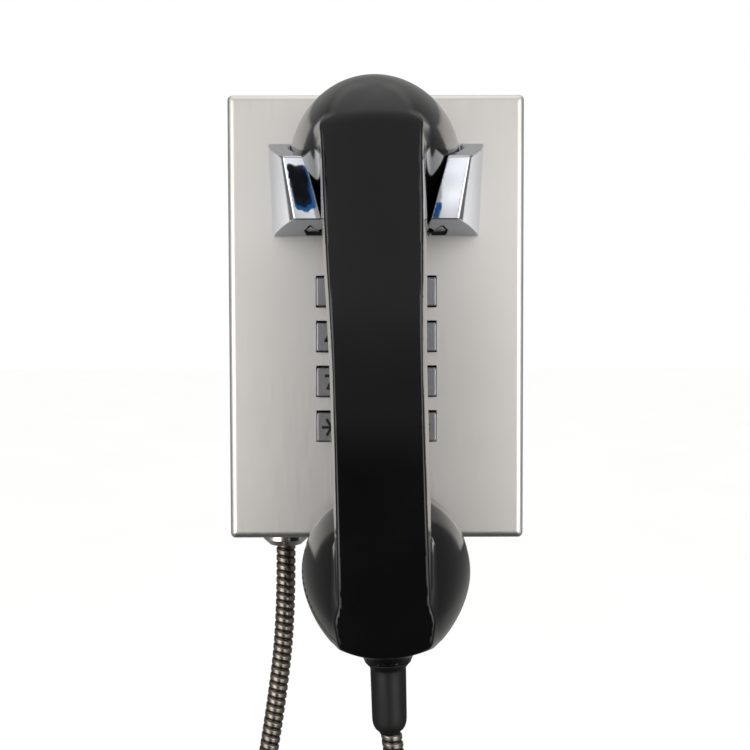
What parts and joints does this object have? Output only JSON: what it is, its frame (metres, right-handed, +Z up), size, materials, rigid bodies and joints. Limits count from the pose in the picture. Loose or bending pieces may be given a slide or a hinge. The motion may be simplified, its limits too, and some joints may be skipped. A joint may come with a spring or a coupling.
{
  "type": "public wall telephone",
  "caption": "Vandal-resistant wall telephone with a brushed steel housing, chromed cast cradle and hook lever, metal keypad, and a black handset hanging on an armoured cord.",
  "frame": {"origin": "centre of the back plate's rear face, where it meets the wall", "axes": "+Z up, +Y into the wall along the face's outward normal, +X to the right of somebody facing the telephone, which faces -Y"},
  "size_m": [0.1341, 0.1167, 0.4719],
  "materials": {
    "cover_steel": "fine satin brushed stainless steel",
    "plate_steel": "rolled stainless sheet",
    "fixing_steel": "turned stainless steel",
    "plated_steel": "bright zinc plating",
    "spring_steel": "drawn spring wire",
    "seal_rubber": "matt black rubber",
    "key_metal": "satin cast metal with bright bevels",
    "black_moulding": "moulded black plastic",
    "silicone": "translucent grey silicone",
    "circuit_board": "green solder mask",
    "cradle_chrome": "bright chromium plate",
    "hook_metal": "blackened steel",
    "transformer_iron": "varnished laminations and tape",
    "terminal_moulding": "green moulded plastic",
    "capacitor_sleeve": "shrink sleeve",
    "gland_metal": "nickel plate",
    "brass_fittings": "plain brass",
    "cord_armour": "interlocked stainless strip",
    "handset_black": "polished black moulding",
    "capsule_metal": "spun can",
    "baffle_foam": "open foam",
    "boot_rubber": "satin black rubber"
  },
  "bodies": {
    "housing": {"back_plate": "plate_steel", "front_cover": "cover_steel", "cover_screws": "fixing_steel", "cradle_casting": "cradle_chrome", "cable_gland": "gland_metal", "armoured_cord": "cord_armour", "housing_gasket": "seal_rubber", "line_grommet": "seal_rubber", "keypad_frame": "black_moulding", "keypad_clamp": "plated_steel", "keypad_mat": "silicone", "keypad_board": "circuit_board", "keypad_nuts": "plated_steel", "cradle_screws": "plated_steel", "hook_bracket": "plated_steel", "hook_pivot_pin": "plated_steel", "hook_spring": "spring_steel", "hook_switch": "black_moulding", "main_board": "circuit_board", "board_standoffs": "plated_steel", "board_screws": "plated_steel", "line_transformer": "transformer_iron", "ringer": "black_moulding", "terminal_block": "terminal_moulding", "capacitors": "capacitor_sleeve", "speech_chip": "black_moulding", "gland_washer": "seal_rubber", "gland_nut": "brass_fittings", "lanyard_ferrule": "brass_fittings", "tab_nuts": "plated_steel"},
    "handset": {"handset_shell": "handset_black", "ear_cap": "handset_black", "mouth_cap": "handset_black", "ear_gasket": "seal_rubber", "receiver_capsule": "capsule_metal", "mouth_baffle": "baffle_foam", "microphone_capsule": "capsule_metal", "cord_boot": "boot_rubber", "cord_clamp": "plated_steel"},
    "hook_lever": {"hook_lever": "hook_metal"},
    "key_1": {"key_1": "key_metal"},
    "key_2": {"key_2": "key_metal"},
    "key_3": {"key_3": "key_metal"},
    "key_4": {"key_4": "key_metal"},
    "key_5": {"key_5": "key_metal"},
    "key_6": {"key_6": "key_metal"},
    "key_7": {"key_7": "key_metal"},
    "key_8": {"key_8": "key_metal"},
    "key_9": {"key_9": "key_metal"},
    "key_star": {"key_star": "key_metal"},
    "key_0": {"key_0": "key_metal"},
    "key_hash": {"key_hash": "key_metal"}
  },
  "joints": [
    {"name": "handset_lift", "type": "slide", "parent": "housing", "child": "handset", "axis": [0, 0, 1], "range_m": [0, 0.055]},
    {"name": "hook_hinge", "type": "hinge", "parent": "housing", "child": "hook_lever", "pos_m": [0, -0.034, 0.0365], "axis": [-1, 0, 0], "range_deg": [0, 12], "stiffness_Nm_per_rad": 0.05, "springref_deg": 22.92},
    {"name": "key_1_press", "type": "slide", "parent": "housing", "child": "key_1", "axis": [0, 1, 0], "range_m": [0, 0.0015], "stiffness_N_per_m": 600, "springref_m": -0.001},
    {"name": "key_2_press", "type": "slide", "parent": "housing", "child": "key_2", "axis": [0, 1, 0], "range_m": [0, 0.0015], "stiffness_N_per_m": 600, "springref_m": -0.001},
    {"name": "key_3_press", "type": "slide", "parent": "housing", "child": "key_3", "axis": [0, 1, 0], "range_m": [0, 0.0015], "stiffness_N_per_m": 600, "springref_m": -0.001},
    {"name": "key_4_press", "type": "slide", "parent": "housing", "child": "key_4", "axis": [0, 1, 0], "range_m": [0, 0.0015], "stiffness_N_per_m": 600, "springref_m": -0.001},
    {"name": "key_5_press", "type": "slide", "parent": "housing", "child": "key_5", "axis": [0, 1, 0], "range_m": [0, 0.0015], "stiffness_N_per_m": 600, "springref_m": -0.001},
    {"name": "key_6_press", "type": "slide", "parent": "housing", "child": "key_6", "axis": [0, 1, 0], "range_m": [0, 0.0015], "stiffness_N_per_m": 600, "springref_m": -0.001},
    {"name": "key_7_press", "type": "slide", "parent": "housing", "child": "key_7", "axis": [0, 1, 0], "range_m": [0, 0.0015], "stiffness_N_per_m": 600, "springref_m": -0.001},
    {"name": "key_8_press", "type": "slide", "parent": "housing", "child": "key_8", "axis": [0, 1, 0], "range_m": [0, 0.0015], "stiffness_N_per_m": 600, "springref_m": -0.001},
    {"name": "key_9_press", "type": "slide", "parent": "housing", "child": "key_9", "axis": [0, 1, 0], "range_m": [0, 0.0015], "stiffness_N_per_m": 600, "springref_m": -0.001},
    {"name": "key_star_press", "type": "slide", "parent": "housing", "child": "key_star", "axis": [0, 1, 0], "range_m": [0, 0.0015], "stiffness_N_per_m": 600, "springref_m": -0.001},
    {"name": "key_0_press", "type": "slide", "parent": "housing", "child": "key_0", "axis": [0, 1, 0], "range_m": [0, 0.0015], "stiffness_N_per_m": 600, "springref_m": -0.001},
    {"name": "key_hash_press", "type": "slide", "parent": "housing", "child": "key_hash", "axis": [0, 1, 0], "range_m": [0, 0.0015], "stiffness_N_per_m": 600, "springref_m": -0.001}
  ],
  "couplings": [
    {"joint": "hook_hinge", "follows": "handset_lift", "rad_per_m": 3.8}
  ]
}
